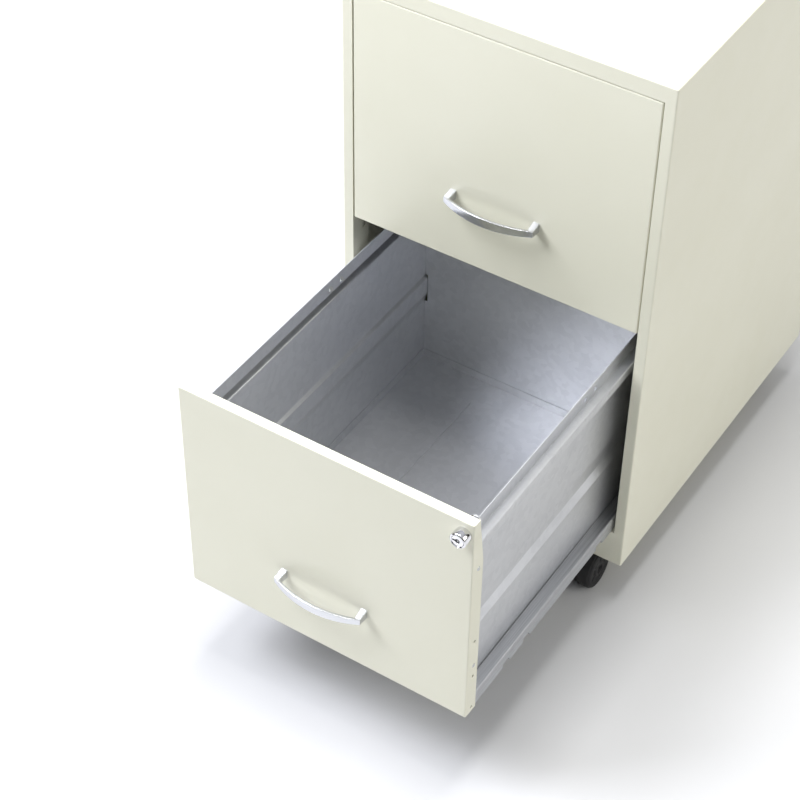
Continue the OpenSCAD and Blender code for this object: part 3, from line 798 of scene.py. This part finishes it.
def wheel_profile(radius, inside, outside):
    """Half section of one wheel: soft-edged tread, a step, a dished face and a hub."""
    width = outside - inside
    return [(inside + u, v) for u, v in rounded([
        (0.0, WHEEL_BORE, 0.1), (0.0, radius - 4.0), (0.6, radius - 0.9, 0.6), (2.2, radius, 0.9),
        (width - 3.4, radius, 0.8), (width - 3.0, radius - 0.9, 0.2), (width - 1.4, radius - 1.3, 0.8),
        (width, radius - 3.2, 0.8), (width, radius - 5.4, 0.4), (width - 1.8, radius - 7.4, 0.8),
        (width - 2.2, 11.0, 0.8), (width - 0.5, 9.4, 0.5), (width, 8.0, 0.5), (width, 5.6, 0.3),
        (width - 1.4, 5.2, 0.2), (width - 1.4, WHEEL_BORE, 0.1),
    ], 0.3, 3)]


def build_wheels(caster):
    """Twin wheels with five raised ribs across each dished face."""
    node = f"{caster}_wheels"
    low, high = box_mm(node)
    centre = (low + high) / 2
    radius, outside = (high.z - low.z) / 2, (high.x - low.x) / 2
    bm = bmesh.new()
    for side in SIDES:
        profile = [(side * u, v) for u, v in wheel_profile(radius, WHEEL_INSIDE, outside)]
        turned(bm, profile, "x", centre, 96)
        for i in range(WHEEL_RIBS):
            angle = math.tau * i / WHEEL_RIBS
            rib = []
            for r, lift in ((8.6, 1.5), (11.5, 0.9), (15.5, 0.9), (radius - 6.4, 1.5)):
                foot = side * (outside - 2.6)
                top = side * (outside - 2.2 + lift)
                section = ((foot, -1.5), (top, -1.0), (top, 1.0), (foot, 1.5))
                rib.append([around("x", centre, u, r, angle + width / r) for u, width in section])
            skin(bm, rib)
    make_piece(f"{caster}_wheel_pair", bm, node)


def build_housing(caster):
    """Hood over the wheels, round web between them and a socket for the stem."""
    node = f"{caster}_housing"
    low, high = box_mm(node)
    wheels_low, wheels_high = box_mm(f"{caster}_wheels")
    centre = (wheels_low + wheels_high) / 2
    radius = (wheels_high.z - wheels_low.z) / 2
    hood_half = (high.x - low.x) / 2
    inner = radius + HOOD_GAP
    outer = inner + HOOD_THICK
    web_radius = radius - 1.5
    stem = Vector((centre.x, centre.y + TRAIL, 0))
    bm = bmesh.new()
    shell = rounded([
        (-hood_half, inner, 0.5), (hood_half, inner, 0.5), (hood_half, outer - 0.6, 0.6),
        (hood_half - 2.5, outer, 2.2), (-hood_half + 2.5, outer, 2.2), (-hood_half, outer - 0.6, 0.6),
    ], 0.5, 4)
    turned(bm, shell, "x", centre, 40, start=HOOD_START, sweep=HOOD_SWEEP)
    disc = rounded([(-WEB_HALF, 4.0, 0.1), (-WEB_HALF, web_radius, 0.9), (WEB_HALF, web_radius, 0.9),
                    (WEB_HALF, 4.0, 0.1)], 0.2, 3)
    turned(bm, disc, "x", centre, 80)
    neck_low, neck_high = 28.0, high.z - 8.0
    socket = rounded([
        (neck_low, STEM_BORE, 0.1), (neck_low, WEB_HALF, 0.8), (neck_high - 2.0, WEB_HALF, 1.0),
        (neck_high - 0.4, 10.6, 1.2), (neck_high + 0.6, 12.0, 0.4), (high.z - 0.4, 12.0, 0.5),
        (high.z, 11.6, 0.3), (high.z, STEM_BORE, 0.1),
    ], 0.4, 3)
    turned(bm, socket, "z", stem, 64)
    half = WEB_HALF - 0.15
    web_top = radius + inner + 0.3
    web = rounded([(centre.y, radius), (stem.y + 3.8, radius), (stem.y + 3.8, 47.5),
                   (stem.y - 2.0, web_top), (centre.y, web_top)], 0.8, 3)
    skin(bm, [[Vector((centre.x + x, y, z)) for y, z in web] for x in (-half, half)])
    make_piece(f"{caster}_hood", bm, node)


def build_axle(caster):
    """Steel axle with a chamfer and a dimple at each end."""
    node = f"{caster}_axle"
    low, high = box_mm(node)
    centre = (low + high) / 2
    half, radius = (high.x - low.x) / 2, (high.z - low.z) / 2 * 0.995
    end = [(half - 0.8, 0.0), (half - 0.5, radius * 0.4), (half, radius * 0.55),
           (half, radius - 0.5), (half - 0.5, radius)]
    profile = []
    for side in SIDES:
        profile += [(side * u, v) for u, v in end][::side]
    bm = bmesh.new()
    turned(bm, profile, "x", centre, 72)
    make_piece(f"{caster}_axle_pin", bm, node)


# ---- building the model -----------------------------------------------------------------

# the eased edges of the CAD nodes that stay, in millimetres
SHEET_EDGE = 0.16
KEPT_EDGE = {"case_wrap": 0.2, "lock_cam": 0.25, "rear_bumpers": 1.2, "caster_stems": 0.5}
REPLACED = ("_drawer_front", "_handle", "_roller", "_drawer_screws", "_wheels", "_housing", "_axle")
REPLACED_ONES = ("case_screws", "lock_barrel", "lock_ring_nut", "lock_plug")


def finish_kept_nodes():
    """CAD nodes that stay: eased edges and the finish that the record names."""
    for name, obj in NODES.items():
        for index in range(len(obj.data.materials)):
            obj.data.materials[index] = FINISHES[SLOT_OF[name]]
        if not name.endswith(REPLACED) and name not in REPLACED_ONES:
            ease_edges(obj, KEPT_EDGE.get(name, SHEET_EDGE))


add_camera()
add_studio()
finish_kept_nodes()
for level in DRAWERS:
    build_front(level)
    build_handle(level)
    build_drawer_screws(level)
for name in NODES:
    if name.endswith("_roller"):
        build_roller(name)
build_case_screws()
build_barrel()
build_ring_nut()
build_plug()
for caster in caster_names():
    build_wheels(caster)
    build_housing(caster)
    build_axle(caster)
